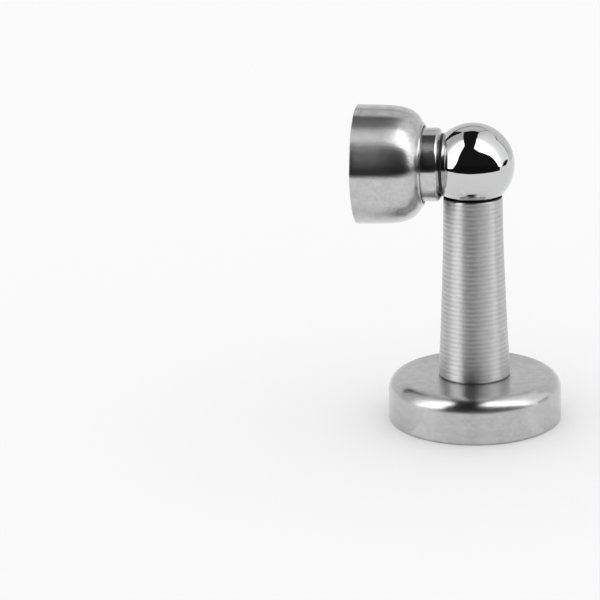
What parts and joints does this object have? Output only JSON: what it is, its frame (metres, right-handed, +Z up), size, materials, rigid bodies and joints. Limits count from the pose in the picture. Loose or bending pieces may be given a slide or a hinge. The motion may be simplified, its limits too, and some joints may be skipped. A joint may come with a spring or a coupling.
{
  "type": "floor door holder",
  "caption": "Floor-standing magnetic door holder: round cover base, tapered ring-turned post, polished ball and a sprung bell-shaped magnet head that swivels.",
  "frame": {"origin": "centre of the base's underside, on the floor", "axes": "+Z up the post; the magnet head points along -X at rest"},
  "size_m": [0.0553, 0.048, 0.0883],
  "materials": {
    "satin_steel": "satin, circumferentially brushed",
    "turned_steel": "fine turned rings",
    "mirror_chrome": "mirror polished",
    "bright_steel": "turned and polished",
    "plated_steel": "zinc plated",
    "spring_steel": "drawn wire",
    "black_nylon": "matt moulded",
    "black_rubber": "matt moulded",
    "nickel_plate": "nickel plated"
  },
  "bodies": {
    "stand": {"floor_plate": "plated_steel", "plate_stud": "plated_steel", "base_cover": "satin_steel", "cover_spacer": "plated_steel", "post": "turned_steel", "post_foot_insert": "plated_steel", "post_head_insert": "plated_steel", "ball_seat_ring": "black_nylon"},
    "ball_joint": {"ball": "mirror_chrome", "swivel_bolt": "plated_steel", "swivel_washer": "plated_steel", "swivel_spring_washer": "spring_steel", "ball_ring": "mirror_chrome", "neck_washer": "black_nylon", "neck_collar": "bright_steel", "head_bolt": "plated_steel"},
    "spring_seat": {"thrust_washer": "plated_steel", "buffer_spring": "spring_steel"},
    "head": {"head_shell": "satin_steel", "guide_bush": "black_nylon", "magnet_holder": "black_nylon", "magnet_cup": "nickel_plate", "magnet": "nickel_plate", "retaining_ring": "spring_steel", "bumper_ring": "black_rubber"}
  },
  "joints": [
    {"name": "ball_swivel", "type": "hinge", "parent": "stand", "child": "ball_joint", "pos_m": [0, 0, 0.072], "axis": [0, 0, 1], "continuous": true},
    {"name": "head_spin", "type": "hinge", "parent": "ball_joint", "child": "spring_seat", "pos_m": [-0.0172, 0, 0.072], "axis": [1, 0, 0], "continuous": true},
    {"name": "buffer_slide", "type": "slide", "parent": "spring_seat", "child": "head", "axis": [1, 0, 0], "range_m": [0, 0.0026], "stiffness_N_per_m": 3000, "springref_m": -0.003, "deforming": ["buffer_spring"]}
  ]
}
